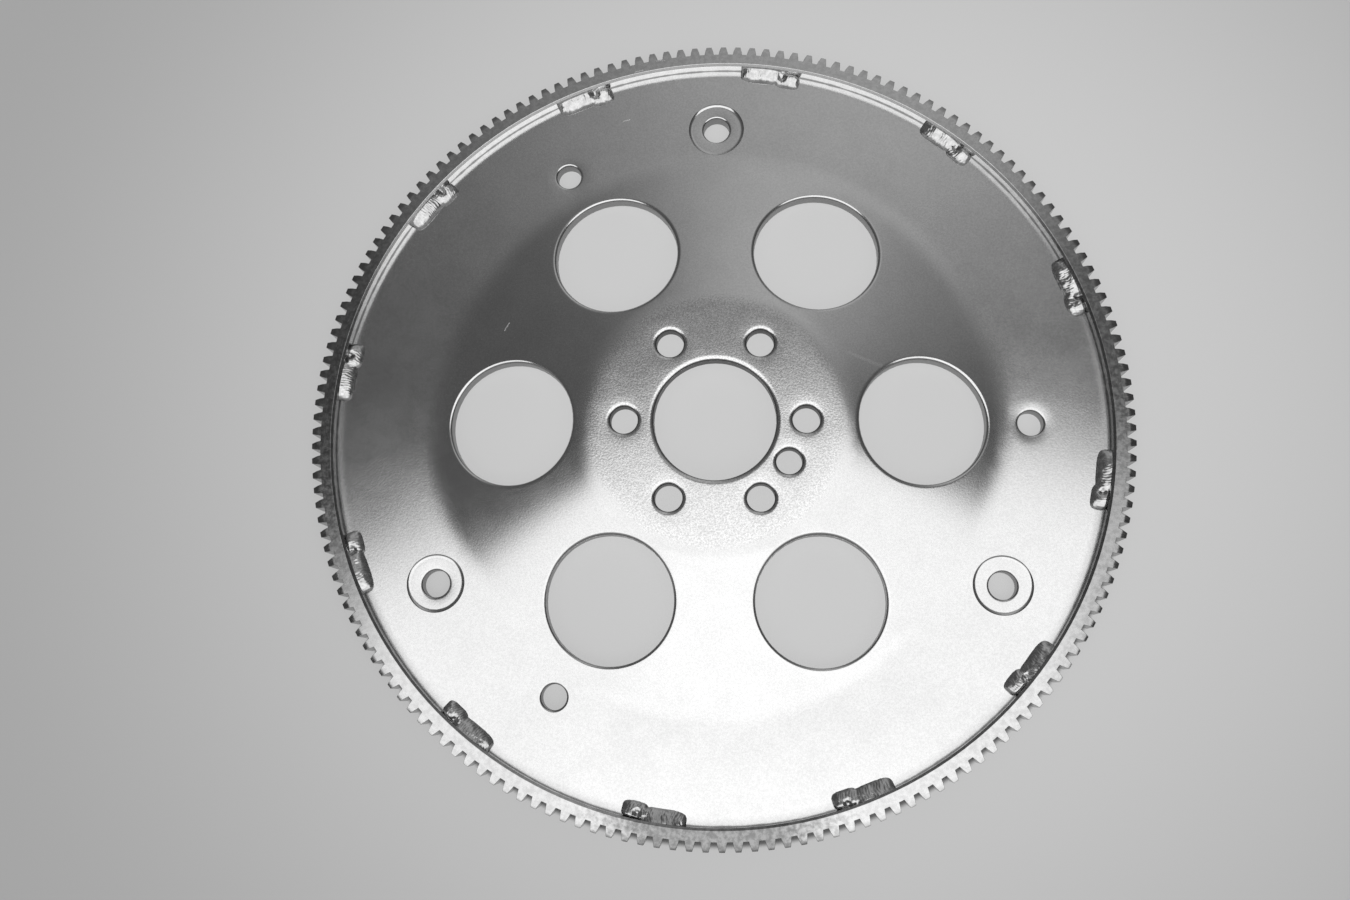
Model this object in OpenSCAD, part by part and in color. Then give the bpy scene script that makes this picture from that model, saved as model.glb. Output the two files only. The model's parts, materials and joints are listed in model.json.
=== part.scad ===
// Flexplate: a dished steel disc with a starter ring gear welded round its rim.
// Units are millimetres. The Z axis is the crank's axis, the origin is its point on the surface
// that the converter pads stand on, and the side that faces up is the one that bolts to the crank.

/* [Ring gear] */
// Diameter over the tooth tips, the part's overall width
outside_d = 359.22; // [352:0.01:370]
// Number of teeth
teeth = 168; // [150:1:180]
// Height of a tooth above the pitch circle
addendum = 1.81; // [1.4:0.01:2.2]
// Depth of a tooth space below the pitch circle
dedendum = 2.27; // [1.8:0.01:2.6]
// Pressure angle of the flanks
pressure_angle = 14.5; // [12:0.5:25]
// Radial width of the rim between the tooth roots and the bore
rim_w = 5.5; // [4:0.1:9]
// Width of the teeth along the axis
ring_w = 11.1; // [9:0.1:14]
// Radial reach of the bevel on the tooth ends
tooth_bevel = 1.7; // [0.5:0.1:3]
// Height of the bevel on the tooth ends
tooth_bevel_h = 0.6; // [0.3:0.1:2]
// Chamfer round the ring's bore
ring_chamfer = 0.9; // [0.2:0.1:1.5]

/* [Plate] */
// Thickness of the plate
plate_t = 6; // [3:0.1:7]
// Depth of the plate's face below the ring's face
ring_step = 5.5; // [3:0.1:7]
// Radius of the flat hub
hub_r = 57; // [52:0.5:60]
// Radius where the web meets the flat rim
web_r = 124; // [118:0.5:126]
// Height of the hub above the rim
dish = 10.5; // [4:0.1:16]
// Radius of the bends at both ends of the web
bend_r = 60; // [10:1:80]
// Radius of the rolled edge that blanking leaves round a hole
edge_roll = 1; // [0.3:0.1:1.7]

/* [Crank side] */
// Radius of the pilot bore
pilot_r = 26.6; // [24:0.1:28]
// Bolt circle of the crank bolts
crank_pcd = 79; // [77:0.1:86]
// Number of crank bolts
crank_bolts = 6; // [5:1:8]
// Radius of a crank bolt hole
crank_hole_r = 6; // [4:0.1:7]
// Distance of the index hole from the axis
index_offset = 36.9; // [36.5:0.1:40]
// Radius of the index hole
index_hole_r = 5.6; // [3:0.1:6.5]

/* [Lightening holes] */
// Number of lightening holes
lightening_holes = 6; // [4:1:6]
// Circle through their centres
lightening_pcd = 179.4; // [176:0.2:184]
// Radius of a lightening hole
lightening_r = 27.7; // [20:0.1:30]

/* [Converter side] */
// Number of converter pads, and of plain converter holes between them
pads = 3; // [3:1:4]
// Bolt circle of the converter pads
pad_pcd = 280.9; // [276:0.1:288]
// Radius of a pad
pad_r = 12.3; // [10:0.1:15]
// Depth that a pad is pressed below the rim's face
pad_depth = 0.6; // [0.5:0.1:2.5]
// Radial lean of a pad's side
pad_lean = 0.5; // [0.2:0.1:1.5]
// Radius of a converter bolt hole
converter_hole_r = 6; // [4:0.1:7]
// Bolt circle of the plain converter holes
plain_pcd = 273; // [268:0.1:282]
// Radius of a plain converter hole
plain_hole_r = 5.5; // [4:0.1:7]
// Angle from a pad to the next plain converter hole
plain_turn = 30; // [20:1:40]

/* [Welds] */
// Number of weld beads
welds = 12; // [6:1:16]
// Length of a bead along the ring's bore
weld_len = 28; // [16:0.5:34]
// Depth of the drum that slopes the bead's ends, below the plate's face
weld_round = 6; // [2:0.5:12]
// Angle of the first bead from the X axis
weld_start = 21.4; // [0:0.1:30]
// Leg of a bead on the plate
weld_leg = 6.3; // [3:0.1:9]
// Leg of a bead on the ring
weld_h = 4.3; // [2:0.1:4.5]
// How far a bead bulges past a straight fillet
weld_bulge = 1.1; // [0.3:0.1:1.6]

/* [Hidden] */
$fn = 96;
slack = 1;
bend_steps = 4;
flank_steps = 2;

tip_r = outside_d / 2;
pitch_r = tip_r - addendum;
root_r = pitch_r - dedendum;
ring_bore_r = root_r - rim_w;
base_r = pitch_r * cos(pressure_angle);

rim_bottom = pad_depth;
rim_top = rim_bottom + plate_t;
ring_top = rim_top + ring_step;
hub_top = rim_top + dish;
web_slope = atan(dish / (web_r - hub_r));
bend_reach = bend_r * tan(web_slope / 2);

pad_angle = 90;
index_angle = -180 / crank_bolts;

// Involute of the base circle, in degrees, at the radius r
function involute(r) = let (a = acos(base_r / r)) tan(a) * 180 / PI - a;

// Half the angle that a tooth fills at the radius r
function half_tooth(r) = 90 / teeth + involute(pitch_r) - involute(r);

function polar(r, a) = [r * cos(a), r * sin(a)];

// Radii of the points along a flank, from root to tip
flank_radii = [for (i = [0 : flank_steps]) root_r + (tip_r - root_r) * i / flank_steps];

// One tooth's outline: up one flank and down the other
function tooth_points(a) = concat(
    [for (r = flank_radii) polar(r, a - half_tooth(r))],
    [for (i = [flank_steps : -1 : 0]) polar(flank_radii[i], a + half_tooth(flank_radii[i]))]
);

// Half section of the plate's upper face, from the axis to the rim, with both bends
hub_bend = [for (i = [0 : bend_steps])
    let (a = web_slope * i / bend_steps)
    [hub_r - bend_reach + bend_r * sin(a), hub_top - bend_r * (1 - cos(a))]];
rim_bend = [for (i = [bend_steps : -1 : 0])
    let (a = web_slope * i / bend_steps)
    [web_r + bend_reach - bend_r * sin(a), rim_top + bend_r * (1 - cos(a))]];
upper_face = concat([[0, hub_top]], hub_bend, rim_bend, [[ring_bore_r, rim_top]]);
lower_face = [for (i = [len(upper_face) - 1 : -1 : 0]) upper_face[i] - [0, plate_t]];

// A bead's outer arc passes through the ends of both legs and bulges past the line between them
weld_chord = norm([weld_leg, weld_h]);
weld_arc_r = weld_chord * weld_chord / (8 * weld_bulge) + weld_bulge / 2;
weld_sink = weld_arc_r - weld_bulge;
weld_back = weld_sink * weld_h / weld_chord - weld_leg / 2;
weld_drop = weld_sink * weld_leg / weld_chord - weld_h / 2;

// Angle that holds a whole bead, ends included
weld_span = 2 * asin((weld_len / 2 + slack) / ring_bore_r);

weld_names = [for (i = [1 : welds]) str("weld_", i < 10 ? "0" : "", i)];

// Copies of the children, evenly spaced on a circle
module around(count, pcd, first = 0) {
    for (i = [0 : count - 1])
        rotate(first + 360 * i / count)
            translate([pcd / 2, 0, 0])
                children();
}

// A blanked hole: a straight wall with a rolled edge where it meets the face at the height top
module blanked_hole(r, top, roll) {
    translate([0, 0, -slack])
        cylinder(r = r, h = top + 2 * slack);
    translate([0, 0, top - roll])
        rotate_extrude()
            difference() {
                square([r + roll, roll + slack]);
                translate([r + roll, 0])
                    circle(r = roll);
                translate([0, -slack])
                    square([r - slack, roll + 3 * slack]);
            }
}

// The dent of a converter pad in the rim's face
module pad_recess() {
    translate([0, 0, rim_top - pad_depth])
        cylinder(r1 = pad_r - pad_lean, r2 = pad_r, h = pad_depth);
    translate([0, 0, rim_top])
        cylinder(r = pad_r, h = slack);
}

// The same pad standing out of the other face
module pad_boss() {
    cylinder(r = pad_r, h = pad_depth + plate_t / 2);
}

module plate() {
    color([0.72, 0.73, 0.74])
        difference() {
            union() {
                rotate_extrude()
                    polygon(concat(upper_face, lower_face));
                around(pads, pad_pcd, pad_angle)
                    pad_boss();
            }
            blanked_hole(pilot_r, hub_top, edge_roll);
            around(crank_bolts, crank_pcd)
                blanked_hole(crank_hole_r, hub_top, edge_roll);
            rotate(index_angle)
                translate([index_offset, 0, 0])
                    blanked_hole(index_hole_r, hub_top, edge_roll);
            around(lightening_holes, lightening_pcd)
                translate([0, 0, -slack])
                    cylinder(r = lightening_r, h = hub_top + 2 * slack);
            around(pads, pad_pcd, pad_angle) {
                pad_recess();
                blanked_hole(converter_hole_r, rim_top - pad_depth, edge_roll / 2);
            }
            around(pads, plain_pcd, pad_angle + plain_turn)
                blanked_hole(plain_hole_r, rim_top, edge_roll / 2);
        }
}

// Half section of the ring: it bevels the tooth ends and chamfers the bore
module ring_section() {
    polygon([
        [ring_bore_r, 0],
        [tip_r + slack, 0],
        [tip_r + slack, ring_w - tooth_bevel_h - slack * tooth_bevel_h / tooth_bevel],
        [tip_r - tooth_bevel, ring_w],
        [ring_bore_r + ring_chamfer, ring_w],
        [ring_bore_r, ring_w - ring_chamfer]
    ]);
}

module ring_gear() {
    color([0.66, 0.67, 0.68])
        translate([0, 0, ring_top - ring_w])
            intersection() {
                linear_extrude(height = ring_w)
                    polygon([for (i = [0 : teeth - 1]) each tooth_points(360 * (i + 0.5) / teeth)]);
                rotate_extrude()
                    ring_section();
            }
}

// Section of a bead in the corner between the plate and the ring
module weld_section() {
    intersection() {
        translate([ring_bore_r - weld_leg, rim_top])
            square([weld_leg, weld_h]);
        translate([ring_bore_r + weld_back, rim_top - weld_drop])
            circle(r = weld_arc_r);
    }
}

// A bead follows the corner, and a drum across its middle slopes both ends
module weld(i) {
    color([0.8, 0.8, 0.8])
        rotate(weld_start + 360 * i / welds)
            intersection() {
                rotate(-weld_span / 2)
                    rotate_extrude(angle = weld_span)
                        weld_section();
                translate([ring_bore_r, 0, rim_top - weld_round])
                    rotate([0, 90, 0])
                        cylinder(r = norm([weld_len / 2, weld_round]), h = 2 * weld_leg + slack, center = true);
            }
}

plate();
ring_gear();
for (i = [0 : welds - 1])
    weld(i);
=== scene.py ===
import json
import math
import random

import bmesh
import bpy
from mathutils import Matrix, Vector, geometry, noise


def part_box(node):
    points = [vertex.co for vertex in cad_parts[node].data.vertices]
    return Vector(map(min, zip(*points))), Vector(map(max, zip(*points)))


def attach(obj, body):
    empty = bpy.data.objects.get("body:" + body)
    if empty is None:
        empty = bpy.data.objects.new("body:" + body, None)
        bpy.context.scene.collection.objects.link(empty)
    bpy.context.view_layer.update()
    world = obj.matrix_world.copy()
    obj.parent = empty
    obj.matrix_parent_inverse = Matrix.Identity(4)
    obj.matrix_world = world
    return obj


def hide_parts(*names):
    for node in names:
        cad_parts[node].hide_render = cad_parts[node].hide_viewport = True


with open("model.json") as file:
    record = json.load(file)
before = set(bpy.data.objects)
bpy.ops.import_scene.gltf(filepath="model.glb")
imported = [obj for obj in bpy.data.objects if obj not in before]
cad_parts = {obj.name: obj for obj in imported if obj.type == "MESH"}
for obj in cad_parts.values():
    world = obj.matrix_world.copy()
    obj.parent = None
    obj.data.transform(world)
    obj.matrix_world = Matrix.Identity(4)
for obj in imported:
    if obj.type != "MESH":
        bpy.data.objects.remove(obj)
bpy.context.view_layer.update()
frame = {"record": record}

# Sizes are in metres, in the part's own frame, and in millimetres where a name ends in MM
MM = 0.001
mounts = {m["name"]: m for m in frame["record"]["mounts"]}
openings = frame["record"]["physics"]["openings"]

# The ring gear
TEETH = 168
ADDENDUM = 1.81 * MM
DEDENDUM = 2.27 * MM
RIM_W = 5.5 * MM
TOOTH_BEVEL = 2.2 * MM
TOOTH_BEVEL_H = 0.78 * MM
RING_CHAMFER = 0.9 * MM
LOW_FLANK = 1.1 * MM
EDGE_WEAR = 0.16 * MM
PRESSURE_ANGLE = math.radians(14.5)
ring_low, ring_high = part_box("ring_gear")
RING_BOTTOM = ring_low[2]
RING_TOP = ring_high[2]
TIP_R = ring_high[0]
PITCH_R = TIP_R - ADDENDUM
ROOT_R = PITCH_R - DEDENDUM
RING_BORE_R = ROOT_R - RIM_W
BASE_R = PITCH_R * math.cos(PRESSURE_ANGLE)

# The plate
PLATE_T = 6.0 * MM
HUB_R = 57.0 * MM
WEB_R = 124.0 * MM
BEND_R = 60.0 * MM
PAD_R = 12.3 * MM
LIGHTENING_R = 27.7 * MM
PLATE_EDGE_GAP = 0.02 * MM
HUB_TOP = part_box("plate")[1][2]
PAD_DEPTH = mounts["plain_converter_bolts"]["pos_m"][2]
RIM_TOP = PAD_DEPTH + PLATE_T
WEB_SLOPE = math.atan2(HUB_TOP - RIM_TOP, WEB_R - HUB_R)
BEND_REACH = BEND_R * math.tan(WEB_SLOPE / 2)

# The weld beads: their two lobes, and the patch of mesh that each is made of, with its rows of points
WELDS = 12
WELD_START = math.radians(21.4)
WELD_LEN = 28.0 * MM
WELD_LEG = 6.3 * MM
BEAD_HEIGHT_MM = 3.3
BEAD_LEAN = 0.3
MAIN_LOBE_AT_MM = (3.6, 0.9)
SMALL_LOBE_HALF_MM = 5.6
SMALL_LOBE_OUT_MM = 3.2
BEAD_PATCH_LEN_MM = 31
BEAD_PATCH_W_MM = 9
BEAD_IN_RING_MM = 0.3
BEAD_LOWEST_MM = -0.4
BEAD_OVER_MM = 0.5
BEAD_SUNK = 0.5 * MM
BEAD_ALONG = 124
BEAD_ACROSS = 36

# Scratches: centre in millimetres, direction in degrees, length and width in millimetres, and strength
PLATE_SCRATCHES = (
    ((-94, 45), 60, 4, 0.6, 1.0),
    ((-42, 146), 15, 3, 0.6, 1.0),
    ((65, 27), -22, 15, 1.7, 0.25),
)
RING_SCRATCHES = (
    ((-26, 173), 4, 4, 0.4, 0.9),
    ((-36, 168), 10, 4, 0.5, 0.9),
)

# Camera, matched to the photograph
CAMERA_AT = Vector((16.9, -118.2, 521.9)) * MM
CAMERA_TARGET = Vector((-17.4, -12.5, 12.1)) * MM
CAMERA_ROLL = math.radians(0.57)
CAMERA_LENS = 32.0


def polar(radius, angle):
    return Vector((radius * math.cos(angle), radius * math.sin(angle)))


def smoothstep(low, high, value):
    t = min(max((value - low) / (high - low), 0.0), 1.0)
    return t * t * (3 - 2 * t)


def add_object(name, mesh):
    piece = bpy.data.objects.new(name, mesh)
    bpy.context.scene.collection.objects.link(piece)
    return piece


def even_normals(mesh):
    """Turn all faces outwards"""
    bm = bmesh.new()
    bm.from_mesh(mesh)
    bmesh.ops.recalc_face_normals(bm, faces=bm.faces[:])
    bm.to_mesh(mesh)
    bm.free()


def finish_piece(piece, node, material, sharp_angle):
    """Give a piece its material and shading, attach it to the frame's root body and hide the CAD part
    that it replaces
    """
    piece.data.materials.append(material)
    piece.data.shade_smooth()
    piece.data.set_sharp_from_angle(angle=math.radians(sharp_angle))
    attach(piece, "root")
    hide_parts(node)


# Camera
def make_camera():
    data = bpy.data.cameras.new("camera")
    data.lens = CAMERA_LENS
    data.sensor_width = 36.0
    data.clip_start = 0.01
    camera = add_object("camera", data)
    back = (CAMERA_AT - CAMERA_TARGET).normalized()
    right = Vector((0, 1, 0)).cross(back).normalized()
    turn = Matrix.Rotation(CAMERA_ROLL, 3, back)
    right = turn @ right
    up = back.cross(right)
    rotation = Matrix((right, up, back)).transposed()
    camera.matrix_world = Matrix.Translation(CAMERA_AT) @ rotation.to_4x4()
    bpy.context.scene.camera = camera


# Holes of the plate
class Hole:
    """A round hole, with the width and depth of its rolled edge and the depth of the sag round it"""
    def __init__(self, centre, radius, roll_w, roll_h, sag):
        self.centre = Vector(centre)
        self.radius = radius
        self.roll_w = roll_w
        self.roll_h = roll_h
        self.sag = sag


def bore_hole(mount, roll_w, roll_h, sag):
    """The hole of a bore mount"""
    return Hole(mount["pos_m"][:2], mount["dims"]["r_mm"] * MM, roll_w, roll_h, sag)


def circle_of_holes(mount, first, roll_w, roll_h, sag):
    """The holes of a bolt pattern, the first of them at the angle given"""
    dims = mount["dims"]
    turns = [first + 2 * math.pi * k / dims["count"] for k in range(dims["count"])]
    spots = [polar(dims["pcd_mm"] * MM / 2, turn) for turn in turns]
    return [Hole(spot, dims["hole_r_mm"] * MM, roll_w, roll_h, sag) for spot in spots]


def opening_hole(opening):
    """The lightening hole that an opening's box lies in"""
    low, high = opening["box_m"]
    centre = ((low[0] + high[0]) / 2, (low[1] + high[1]) / 2)
    return Hole(centre, LIGHTENING_R, 1.6 * MM, 1.2 * MM, 0.0)


hub_holes = [bore_hole(mounts["pilot_bore"], 2.1 * MM, 1.2 * MM, 0.05 * MM)]
hub_holes += [bore_hole(mounts["index_hole"], 1.8 * MM, 1.1 * MM, 0.08 * MM)]
hub_holes += circle_of_holes(mounts["crank_bolts"], 0, 1.8 * MM, 1.1 * MM, 0.08 * MM)
light_holes = [opening_hole(o) for o in openings if o["name"].startswith("lightening")]
pad_holes = circle_of_holes(mounts["converter_bolts"], math.pi / 2, 0.9 * MM, 0.7 * MM, 0.12 * MM)
plain_holes = circle_of_holes(mounts["plain_converter_bolts"], 0, 1.0 * MM, 0.8 * MM, 0.12 * MM)
plate_holes = hub_holes + light_holes + pad_holes + plain_holes

# Steps of the rolled edge, as angles from the wall to the flat face, and rings beyond it
ROLL_ANGLES = [math.radians(a) for a in (90, 78, 66, 54, 43, 33, 24, 16, 8, 0)]
BEYOND_ROLL = (0.5 * MM, 1.4 * MM, 2.7 * MM, 4.2 * MM)
SAG_W = 4.5 * MM
PAD_SIDE_W = 1.8 * MM
PAD_RINGS = [PAD_R + PAD_SIDE_W * (k / 8 - 0.75) for k in range(9)]
PAD_GUARDS = [PAD_RINGS[0] - 1.3 * MM, PAD_RINGS[0] - 0.4 * MM]
PAD_GUARDS += [PAD_RINGS[-1] + 0.4 * MM, PAD_RINGS[-1] + 1.3 * MM]

# Spacing of the plate's points, round a hole and elsewhere, and the points on a pad's rings
HOLE_STEP = 1.1 * MM
HOLE_POINTS_MIN = 64
GRID_STEP = 3.4 * MM
GRID_TURN = 0.5
PAD_POINTS = 96


def face_height(radius):
    """Height of the plate's upper face, without its holes and pads"""
    bend_start = HUB_R - BEND_REACH
    bend_end = WEB_R + BEND_REACH
    if radius <= bend_start:
        return HUB_TOP
    if radius >= bend_end:
        return RIM_TOP
    if radius < bend_start + BEND_R * math.sin(WEB_SLOPE):
        return HUB_TOP - BEND_R + math.sqrt(BEND_R ** 2 - (radius - bend_start) ** 2)
    if radius > bend_end - BEND_R * math.sin(WEB_SLOPE):
        return RIM_TOP + BEND_R - math.sqrt(BEND_R ** 2 - (bend_end - radius) ** 2)
    return HUB_TOP - (radius - HUB_R) * math.tan(WEB_SLOPE)


def pad_drop(point):
    """How far a pressed pad lowers the plate at a point"""
    distance = min((point - hole.centre).length for hole in pad_holes)
    out = min(max((distance - PAD_RINGS[0]) / PAD_SIDE_W, 0.0), 1.0)
    return PAD_DEPTH * (1 - out ** 3)


def roll_drop(point):
    """How far the hole edges, with their sag and roll, lower the upper face at a point"""
    roll = 0.0
    sag = 0.0
    for hole in plate_holes:
        out = max((point - hole.centre).length - hole.radius, 0.0)
        lean = max(1 - out / hole.roll_w, 0.0)
        roll = max(roll, hole.roll_h * (1 - math.sqrt(1 - lean * lean)))
        sag += hole.sag * max(1 - out / (hole.roll_w + SAG_W), 0.0) ** 2
    return roll + sag


def ring_points(centre, radius, count, turn=0.0):
    return [centre + polar(radius, turn + 2 * math.pi * k / count) for k in range(count)]


def outside(points, holes, margin):
    """Those of the points that lie clear of the holes and of their rolled edges"""
    def clear(point, hole):
        return (point - hole.centre).length > hole.radius + hole.roll_w + margin

    return [point for point in points if all(clear(point, hole) for hole in holes)]


def in_pad_side(point, pad):
    """Whether a point lies where the rings of points round a pad already stand"""
    distance = (point - pad.centre).length
    return PAD_GUARDS[0] - GRID_STEP / 3 < distance < PAD_GUARDS[-1] + GRID_STEP / 3


def plate_points():
    """Plan points of the plate, and the loops of points round its holes and its edge"""
    points = []
    loops = []
    for hole in plate_holes:
        count = max(HOLE_POINTS_MIN, round(2 * math.pi * hole.radius / HOLE_STEP))
        others = [other for other in plate_holes if other is not hole]
        loops.append(range(len(points), len(points) + count))
        for angle in ROLL_ANGLES:
            radius = hole.radius + hole.roll_w * (1 - math.sin(angle))
            points += outside(ring_points(hole.centre, radius, count), others, 0.0)
        for beyond in BEYOND_ROLL:
            ring = ring_points(hole.centre, hole.radius + hole.roll_w + beyond, count * 3 // 4)
            points += outside(ring, others, beyond + 0.3 * MM)
    for hole in pad_holes:
        for radius in PAD_RINGS + PAD_GUARDS:
            points += ring_points(hole.centre, radius, PAD_POINTS)
    edge_count = round(2 * math.pi * RING_BORE_R / GRID_STEP)
    loops.append(range(len(points), len(points) + edge_count))
    points += ring_points(Vector((0, 0)), RING_BORE_R - PLATE_EDGE_GAP, edge_count)
    rows = round((RING_BORE_R - HUB_R / 2) / GRID_STEP)
    for row in range(1, rows):
        radius = RING_BORE_R - row * (RING_BORE_R - HUB_R / 2) / rows
        count = round(2 * math.pi * radius / GRID_STEP)
        ring = ring_points(Vector((0, 0)), radius, count, row * GRID_TURN)
        ring = outside(ring, plate_holes, BEYOND_ROLL[-1] + GRID_STEP / 3)
        points += [p for p in ring if not any(in_pad_side(p, pad) for pad in pad_holes)]
    return points, loops


def in_hole(point):
    """Whether a triangle's middle lies in a hole, whose outline here is made of straight steps"""
    return any((point - hole.centre).length < hole.radius * 0.998 for hole in plate_holes)


def make_plate(material):
    """The disc: two faces over the same plan points, joined by the walls of its holes and its edge"""
    points, loops = plate_points()
    rim_edges = [(loop[k], loop[(k + 1) % len(loop)]) for loop in loops for k in range(len(loop))]
    plan, _, triangles, sources, _, _ = geometry.delaunay_2d_cdt(points, rim_edges, [], 0, 1e-9)
    place_of = {source: index for index, found in enumerate(sources) for source in found}
    solid = [tuple(t) for t in triangles if not in_hole((plan[t[0]] + plan[t[1]] + plan[t[2]]) / 3)]
    count = len(plan)
    upper = []
    lower = []
    for point in plan:
        height = face_height(point.length) - pad_drop(point)
        upper.append((point.x, point.y, height - roll_drop(point)))
        lower.append((point.x, point.y, height - PLATE_T))
    faces = list(solid) + [tuple(index + count for index in reversed(triangle)) for triangle in solid]
    for start, end in rim_edges:
        a = place_of[start]
        b = place_of[end]
        faces.append((b, a, a + count, b + count))
    mesh = bpy.data.meshes.new("flexplate_disc")
    mesh.from_pydata(upper + lower, [], faces)
    even_normals(mesh)
    piece = add_object("flexplate_disc", mesh)
    finish_piece(piece, "plate", material, 40)


def involute(radius):
    """Involute of the base circle, in radians, at a radius"""
    angle = math.acos(min(1.0, BASE_R / radius))
    return math.tan(angle) - angle


def half_tooth(radius):
    """Half the angle that a tooth fills at a radius"""
    return math.pi / (2 * TEETH) + involute(PITCH_R) - involute(radius)


def make_ring(material):
    """The ring gear, tooth by tooth, with bevelled tooth ends and a chamfered bore"""
    bevel_start = TIP_R - TOOTH_BEVEL
    radii = (ROOT_R, ROOT_R + LOW_FLANK, bevel_start, TIP_R)
    root_half = half_tooth(ROOT_R)
    pitch_angle = 2 * math.pi / TEETH
    bm = bmesh.new()

    def vertex(radius, angle, height):
        return bm.verts.new((radius * math.cos(angle), radius * math.sin(angle), height))

    def top_height(radius):
        return RING_TOP - max(0.0, radius - bevel_start) * TOOTH_BEVEL_H / TOOTH_BEVEL

    columns = []
    for tooth in range(TEETH):
        middle = (tooth + 0.5) * pitch_angle
        left = [vertex(r, middle - half_tooth(r), top_height(r)) for r in radii]
        right = [vertex(r, middle + half_tooth(r), top_height(r)) for r in radii]
        left_low = [vertex(r, middle - half_tooth(r), RING_BOTTOM) for r in radii]
        right_low = [vertex(r, middle + half_tooth(r), RING_BOTTOM) for r in radii]
        inner = []
        for angle in (middle - root_half, middle + root_half):
            inner.append((vertex(RING_BORE_R + RING_CHAMFER, angle, RING_TOP),
                          vertex(RING_BORE_R, angle, RING_TOP - RING_CHAMFER),
                          vertex(RING_BORE_R, angle, RING_BOTTOM)))
        columns.append((left, right, left_low, right_low, inner))
    for tooth in range(TEETH):
        left, right, left_low, right_low, inner = columns[tooth]
        after = columns[(tooth + 1) % TEETH]
        for k in range(len(radii) - 1):
            bm.faces.new((left[k], left[k + 1], right[k + 1], right[k]))
            bm.faces.new((right_low[k], right_low[k + 1], left_low[k + 1], left_low[k]))
            bm.faces.new((left_low[k], left_low[k + 1], left[k + 1], left[k]))
            bm.faces.new((right[k], right[k + 1], right_low[k + 1], right_low[k]))
        bm.faces.new((left[-1], left_low[-1], right_low[-1], right[-1]))
        bm.faces.new((right[0], right_low[0], after[2][0], after[0][0]))
        spans = (((left[0], left_low[0], inner[0]), (right[0], right_low[0], inner[1])),
                 ((right[0], right_low[0], inner[1]), (after[0][0], after[2][0], after[4][0])))
        for (top_a, low_a, in_a), (top_b, low_b, in_b) in spans:
            bm.faces.new((in_a[0], top_a, top_b, in_b[0]))
            bm.faces.new((in_a[1], in_a[0], in_b[0], in_b[1]))
            bm.faces.new((in_a[2], in_a[1], in_b[1], in_b[2]))
            bm.faces.new((low_a, in_a[2], in_b[2], low_b))
    bmesh.ops.recalc_face_normals(bm, faces=bm.faces[:])
    mesh = bpy.data.meshes.new("starter_ring")
    bm.to_mesh(mesh)
    bm.free()
    piece = add_object("starter_ring", mesh)
    edges = piece.modifiers.new("worn_edges", "BEVEL")
    edges.width = EDGE_WEAR
    edges.segments = 2
    edges.harden_normals = True
    edges.limit_method = "ANGLE"
    edges.angle_limit = math.radians(25)
    finish_piece(piece, "ring_gear", material, 60)


def lobe(s, t, centre, reach, height):
    """Height of one lump of weld metal that leans to a steep toe, below zero outside its outline"""
    inside = 1 - abs((s - centre[0]) / reach[0]) ** 3 - abs((t - centre[1]) / reach[1]) ** 4
    return (height - BEAD_LEAN * (t - centre[1])) * math.copysign(abs(inside) ** 0.5, inside)


def bead_height(s, t, shape, seed):
    """Height of a bead above the plate, s along it and t away from the ring, all in millimetres"""
    half = shape["length"] / 2
    main_reach = (half - MAIN_LOBE_AT_MM[0], shape["width"])
    main = lobe(s, t, MAIN_LOBE_AT_MM, main_reach, shape["height"])
    small_at = (SMALL_LOBE_HALF_MM - half, SMALL_LOBE_OUT_MM)
    small_reach = (SMALL_LOBE_HALF_MM, shape["width"] - 1.2)
    small = lobe(s, t, small_at, small_reach, shape["height"] * 0.75)
    join = 0.35 * math.exp(-abs(main - small) / 0.6)
    both = max(main, small) + join
    where = Vector((s, t, 0)) + seed
    lumps = shape["lumps"] * (0.30 * noise.noise(where * 0.25) + 0.09 * noise.noise(where * 0.8))
    wander = 0.8 * noise.noise(where * 0.35)
    ripple = 0.025 * math.sin(2 * math.pi * (s - 0.09 * (t - 2.5) ** 2 + wander) / shape["pitch"])
    crater = math.hypot(s - shape["crater"][0], t - shape["crater"][1]) / 1.5
    dent = 1.3 * math.exp(-crater ** 2)
    both += lumps + ripple * smoothstep(0.3, 1.6, both) - dent
    return min(max(both, BEAD_LOWEST_MM), shape["height"] + BEAD_OVER_MM)


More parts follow.
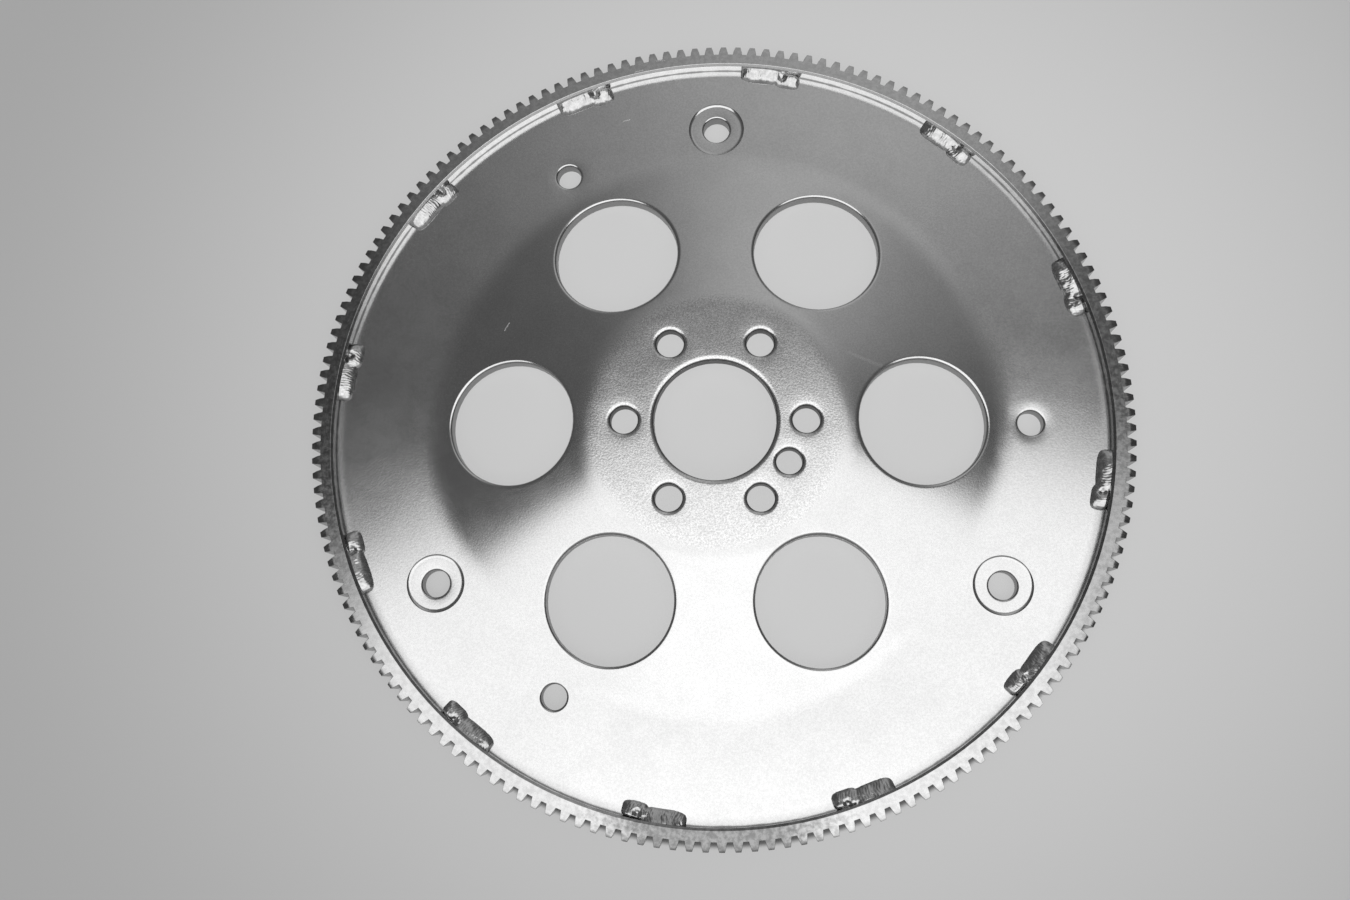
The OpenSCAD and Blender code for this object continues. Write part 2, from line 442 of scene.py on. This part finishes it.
def make_weld(number, material):
    """A lumpy bead in the corner between the plate and the ring, closed below the plate's face"""
    dice = random.Random(40 + number)
    shape = {
        "length": WELD_LEN / MM * dice.uniform(0.95, 1.03),
        "width": WELD_LEG / MM * dice.uniform(0.74, 0.82),
        "height": BEAD_HEIGHT_MM * dice.uniform(0.92, 1.06),
        "pitch": dice.uniform(1.0, 1.3),
        "lumps": dice.uniform(0.5, 1.4),
        "crater": (dice.uniform(-7.5, -4.5), dice.uniform(1.0, 2.4)),
    }
    seed = Vector((dice.uniform(0, 90), dice.uniform(0, 90), dice.uniform(0, 90)))
    middle = WELD_START + 2 * math.pi * number / WELDS
    verts = []
    for i in range(BEAD_ALONG + 1):
        s = (i / BEAD_ALONG - 0.5) * BEAD_PATCH_LEN_MM
        angle = middle + s * MM / RING_BORE_R
        for j in range(BEAD_ACROSS + 1):
            t = j / BEAD_ACROSS * BEAD_PATCH_W_MM - BEAD_IN_RING_MM
            spot = polar(RING_BORE_R - t * MM, angle)
            verts.append((spot.x, spot.y, RIM_TOP + bead_height(s, t, shape, seed) * MM))
    row = BEAD_ACROSS + 1
    faces = [(i * row + j, i * row + j + 1, (i + 1) * row + j + 1, (i + 1) * row + j)
             for i in range(BEAD_ALONG) for j in range(BEAD_ACROSS)]
    last_row = BEAD_ALONG * row
    border = list(range(row))
    border += [i * row + BEAD_ACROSS for i in range(1, BEAD_ALONG + 1)]
    border += list(range(last_row + BEAD_ACROSS - 1, last_row - 1, -1))
    border += [i * row for i in range(BEAD_ALONG - 1, 0, -1)]
    floor_at = len(verts)
    verts += [(verts[k][0], verts[k][1], RIM_TOP - BEAD_SUNK) for k in border]
    for k in range(len(border)):
        after = (k + 1) % len(border)
        faces.append((border[k], border[after], floor_at + after, floor_at + k))
    faces.append(tuple(range(floor_at, len(verts))))
    mesh = bpy.data.meshes.new("bead_%02d" % (number + 1))
    mesh.from_pydata(verts, [], faces)
    even_normals(mesh)
    piece = add_object("bead_%02d" % (number + 1), mesh)
    finish_piece(piece, "weld_%02d" % (number + 1), material, 60)


# Shading
class Nodes:
    """Short names for the node calls that the materials and the world share"""
    def __init__(self, tree, place):
        self.tree = tree
        self.place = tree.nodes.new("ShaderNodeTexCoord").outputs[place]

    def set(self, target, value):
        if isinstance(value, bpy.types.NodeSocket):
            self.tree.links.new(value, target)
        else:
            target.default_value = value

    def noise(self, scale, detail=2.0, rough=0.5):
        node = self.tree.nodes.new("ShaderNodeTexNoise")
        self.set(node.inputs["Vector"], self.place)
        self.set(node.inputs["Scale"], scale)
        self.set(node.inputs["Detail"], detail)
        self.set(node.inputs["Roughness"], rough)
        return node.outputs["Fac"]

    def math(self, operation, *values):
        node = self.tree.nodes.new("ShaderNodeMath")
        node.operation = operation
        for target, value in zip(node.inputs, values):
            self.set(target, value)
        return node.outputs[0]

    def add(self, a, b):
        return self.math("ADD", a, b)

    def times(self, a, b):
        return self.math("MULTIPLY", a, b)

    def reach(self, x, y):
        return self.math("SQRT", self.add(self.times(x, x), self.times(y, y)))

    def blend(self, value, low, high, to_low, to_high):
        node = self.tree.nodes.new("ShaderNodeMapRange")
        node.interpolation_type = "SMOOTHSTEP"
        self.set(node.inputs["Value"], value)
        self.set(node.inputs["From Min"], low)
        self.set(node.inputs["From Max"], high)
        self.set(node.inputs["To Min"], to_low)
        self.set(node.inputs["To Max"], to_high)
        return node.outputs["Result"]

    def mix(self, factor, a, b):
        node = self.tree.nodes.new("ShaderNodeMix")
        self.set(node.inputs["Factor"], factor)
        self.set(node.inputs["A"], a)
        self.set(node.inputs["B"], b)
        return node.outputs["Result"]

    def parts(self, vector):
        node = self.tree.nodes.new("ShaderNodeSeparateXYZ")
        self.set(node.inputs[0], vector)
        return node.outputs["X"], node.outputs["Y"], node.outputs["Z"]

    def scratches(self, x, y, scratches):
        """The strength of the scratch at a point, zero away from them all"""
        strongest = 0.0
        for centre, turn, length, width, strength in scratches:
            way = polar(1, math.radians(turn))
            half = length * MM / 2
            from_x = self.add(x, -centre[0] * MM)
            from_y = self.add(y, -centre[1] * MM)
            along = self.add(self.times(from_x, way.x), self.times(from_y, way.y))
            along = self.math("MINIMUM", self.math("MAXIMUM", along, -half), half)
            side_x = self.add(from_x, self.times(along, -way.x))
            side_y = self.add(from_y, self.times(along, -way.y))
            away = self.reach(side_x, side_y)
            mark = self.blend(away, 0.2 * width * MM, 0.7 * width * MM, strength, 0.0)
            strongest = self.math("MAXIMUM", strongest, mark)
        return strongest

    def levelness(self):
        """One on level faces, down to zero on upright walls"""
        normal = self.tree.nodes.new("ShaderNodeNewGeometry").outputs["True Normal"]
        return self.math("ABSOLUTE", self.parts(normal)[2])

    def bump(self, height, distance, under=None):
        node = self.tree.nodes.new("ShaderNodeBump")
        self.set(node.inputs["Distance"], distance)
        self.set(node.inputs["Height"], height)
        if under is not None:
            self.set(node.inputs["Normal"], under)
        return node.outputs["Normal"]


def metal(name):
    """A bare metal material, with its shader and its node helper"""
    material = bpy.data.materials.new(name)
    material.use_nodes = True
    n = Nodes(material.node_tree, "Object")
    shader = material.node_tree.nodes["Principled BSDF"]
    n.set(shader.inputs["Metallic"], 1.0)
    return material, n, shader


def make_plate_zinc():
    """Bright zinc with a fine grain and a satin hub, with dull sheared walls in the holes that carry
    painted shade, and painted shade in the corner by the ring
    """
    material, n, shader = metal("plate_zinc")
    x, y, _ = n.parts(n.place)
    radius = n.reach(x, y)
    ragged = n.add(radius, n.times(n.noise(90.0), 4 * MM))
    hub = n.blend(ragged, HUB_R - 1 * MM, HUB_R + 3 * MM, 1.0, 0.0)
    grain = n.noise(1300.0, 2.0, 0.6)
    cloud = n.noise(60.0, 4.0, 0.6)
    fleck = n.times(n.blend(grain, 0.3, 0.7, -1.0, 1.0), n.mix(hub, 0.05, 0.15))
    tone = n.add(n.add(n.blend(cloud, 0.3, 0.7, -0.02, 0.02), fleck), n.mix(hub, 0.80, 0.82))
    # Painted shade in the corner by the ring: a dark line at the plate's edge and a slightly darker band
    # beyond it, which is also a little rougher
    from_ring = n.add(n.math("SUBTRACT", RING_BORE_R, radius), n.times(n.noise(200.0), 0.8 * MM))
    corner_shade_and_dullness = n.blend(from_ring, 1.5 * MM, 5 * MM, 1.0, 0.0)
    tone = n.times(tone, n.blend(from_ring, 0.6 * MM, 1.1 * MM, 0.4, 1.0))
    tone = n.times(tone, n.mix(corner_shade_and_dullness, 1.0, 0.92))
    level = n.levelness()
    # Painted shade on the walls of the holes and other steep faces, darkest in the hub
    wall_shade = n.blend(radius, HUB_R - 2 * MM, HUB_R + 8 * MM, 0.17, 0.42)
    tone = n.times(tone, n.blend(level, 0.68, 0.92, wall_shade, 1.0))
    mark = n.scratches(x, y, PLATE_SCRATCHES)
    n.set(shader.inputs["Base Color"], n.mix(mark, tone, 1.0))
    rough = n.add(n.mix(hub, 0.13, 0.15), n.blend(cloud, 0.3, 0.7, -0.008, 0.012))
    rough = n.add(rough, n.times(mark, 0.35))
    rough = n.add(rough, n.times(corner_shade_and_dullness, 0.08))
    n.set(shader.inputs["Roughness"], n.add(rough, n.blend(level, 0.3, 0.8, 0.3, 0.0)))
    depth = n.mix(hub, 0.009 * MM, 0.024 * MM)
    n.set(shader.inputs["Normal"], n.bump(grain, depth))
    return material


def make_ring_zinc():
    """Duller zinc with coarse spangle, darker in a patch in front, with painted shade at both sides and
    on the tooth flanks, and a painted highlight on the bore wall behind
    """
    material, n, shader = metal("ring_zinc")
    x, y, _ = n.parts(n.place)
    spangle = n.noise(420.0, 3.0, 0.65)
    grain = n.noise(1400.0, 2.0, 0.6)
    aside = n.math("ABSOLUTE", x)
    front = n.blend(n.add(aside, n.times(spangle, 30 * MM)), 40 * MM, 75 * MM, 1.0, 0.0)
    front = n.times(front, n.blend(y, -100 * MM, -60 * MM, 1.0, 0.0))
    # Painted shade towards the left and right of the ring; the patch in front is simply darker
    side_shade = n.blend(aside, 130 * MM, 165 * MM, 0.70, 0.42)
    tone = n.add(n.mix(front, side_shade, 0.30), n.blend(spangle, 0.35, 0.65, -0.07, 0.07))
    level = n.levelness()
    radius = n.reach(x, y)
    in_teeth = n.blend(radius, ROOT_R - 0.4 * MM, ROOT_R, 0.0, 1.0)
    in_bore = n.blend(radius, RING_BORE_R + 1 * MM, RING_BORE_R + 2 * MM, 1.0, 0.0)
    # Painted shade on the flanks and end faces of the teeth
    flank_shade = n.times(n.blend(level, 0.35, 0.8, 1.0, 0.0), in_teeth)
    bore = n.times(n.blend(level, 0.75, 0.95, 1.0, 0.0), in_bore)
    behind = n.times(n.blend(y, 20 * MM, 100 * MM, 0.0, 1.0), n.blend(x, 90 * MM, 130 * MM, 1.0, 0.0))
    # Painted highlight on the bore wall and chamfer behind, where the chamfer is also rougher
    bore_highlight = n.times(bore, behind)
    tone = n.times(n.mix(bore_highlight, tone, 0.95), n.mix(flank_shade, 1.0, 0.2))
    mark = n.scratches(x, y, RING_SCRATCHES)
    n.set(shader.inputs["Base Color"], n.mix(mark, tone, 1.0))
    chamfer = n.times(bore_highlight, n.blend(level, 0.3, 0.6, 0.0, 0.28))
    rough = n.add(n.blend(spangle, 0.3, 0.7, 0.11, 0.17), chamfer)
    n.set(shader.inputs["Roughness"], n.add(rough, n.times(mark, 0.35)))
    n.set(shader.inputs["Normal"], n.bump(grain, 0.005 * MM, n.bump(spangle, 0.009 * MM)))
    return material


def make_bead_zinc():
    """Plated weld metal, shiny with a fine unevenness"""
    material, n, shader = metal("bead_zinc")
    patch = n.noise(500.0, 3.0, 0.6)
    n.set(shader.inputs["Base Color"], n.blend(patch, 0.35, 0.65, 0.58, 0.78))
    n.set(shader.inputs["Roughness"], n.blend(patch, 0.3, 0.7, 0.16, 0.26))
    n.set(shader.inputs["Normal"], n.bump(patch, 0.02 * MM))
    return material


# Floor and light
def make_floor():
    """A pale table with a painted glow of its own, so that it is bright even in the holes, and a painted
    shadow in a band under the rim of the plate and the ring
    """
    mesh = bpy.data.meshes.new("floor")
    half = 3.0
    corners = [(-half, -half, 0), (half, -half, 0), (half, half, 0), (-half, half, 0)]
    mesh.from_pydata(corners, [], [(0, 1, 2, 3)])
    floor = add_object("floor", mesh)
    material = bpy.data.materials.new("floor_paper")
    material.use_nodes = True
    n = Nodes(material.node_tree, "Object")
    shader = material.node_tree.nodes["Principled BSDF"]
    x, y, _ = n.parts(n.place)
    axis = n.reach(x, y)
    far = n.reach(n.add(x, -0.05), n.add(y, -0.03))
    n.set(shader.inputs["Base Color"], (0.25, 0.25, 0.25, 1))
    n.set(shader.inputs["Roughness"], 0.9)
    n.set(shader.inputs["Specular IOR Level"], 0.0)
    n.set(shader.inputs["Emission Color"], (1, 1, 1, 1))
    # Painted glow, brighter towards the middle, dimmed by a painted shadow from under the rim of the
    # plate out past the teeth
    glow = n.blend(far, 0.1, 0.45, 0.48, 0.26)
    inner_shade = n.blend(axis, RING_BORE_R - 20 * MM, RING_BORE_R - 14 * MM, 1.0, 0.0)
    outer_shade = n.blend(axis, TIP_R - 2.1 * MM, TIP_R + 0.4 * MM, 0.12, 1.0)
    shade = n.math("MAXIMUM", inner_shade, outer_shade)
    n.set(shader.inputs["Emission Strength"], n.times(glow, shade))
    mesh.materials.append(material)


def make_world():
    """A large soft light overhead, and dim walls that are brighter in the middle behind and in front"""
    light_level = 1.05
    wall_level = 0.085
    back_level = 0.33
    front_level = 0.22
    world = bpy.data.worlds.new("studio")
    bpy.context.scene.world = world
    world.use_nodes = True
    n = Nodes(world.node_tree, "Generated")
    x, y, z = n.parts(n.place)
    height = n.math("MAXIMUM", z, 0.03)
    slope_x = n.math("DIVIDE", x, height)
    slope_y = n.math("DIVIDE", y, height)
    border = n.add(n.times(n.times(slope_x, slope_x), -0.8), n.add(n.times(slope_x, 0.10), 0.24))
    past = n.math("SUBTRACT", slope_y, border)
    soft = n.times(n.blend(past, -0.055, 0.055, 1.0, 0.0), n.blend(slope_y, -1.1, -0.6, 0.0, 1.0))
    aside = n.math("DIVIDE", n.math("SUBTRACT", x, 0.10), 0.28)
    middle = n.math("EXPONENT", n.times(n.times(aside, aside), -1.0))
    back = n.times(n.times(middle, n.blend(slope_y, 0.15, 0.55, 0.0, 1.0)), back_level)
    front = n.blend(slope_y, -1.1, -0.6, front_level, 0.0)
    light = n.add(n.add(n.times(soft, light_level), wall_level), n.add(back, front))
    n.set(world.node_tree.nodes["Background"].inputs["Color"], light)


def area_lamp(name, place, target, width, height, watts):
    """A rectangular lamp that points at its target"""
    data = bpy.data.lights.new(name, "AREA")
    data.shape = "RECTANGLE"
    data.size = width
    data.size_y = height
    data.energy = watts
    lamp = add_object(name, data)
    lamp.location = place
    direction = Vector(target) - Vector(place)
    lamp.rotation_euler = direction.to_track_quat("-Z", "Y").to_euler()


make_camera()
make_plate(make_plate_zinc())
make_ring(make_ring_zinc())
bead_zinc = make_bead_zinc()
for bead in range(WELDS):
    make_weld(bead, bead_zinc)
make_floor()
make_world()
area_lamp("overhead_softbox", (0.10, -0.45, 1.2), (0.10, -0.20, 0), width=0.7, height=0.5, watts=0.12)

bpy.context.scene.view_settings.view_transform = "Standard"
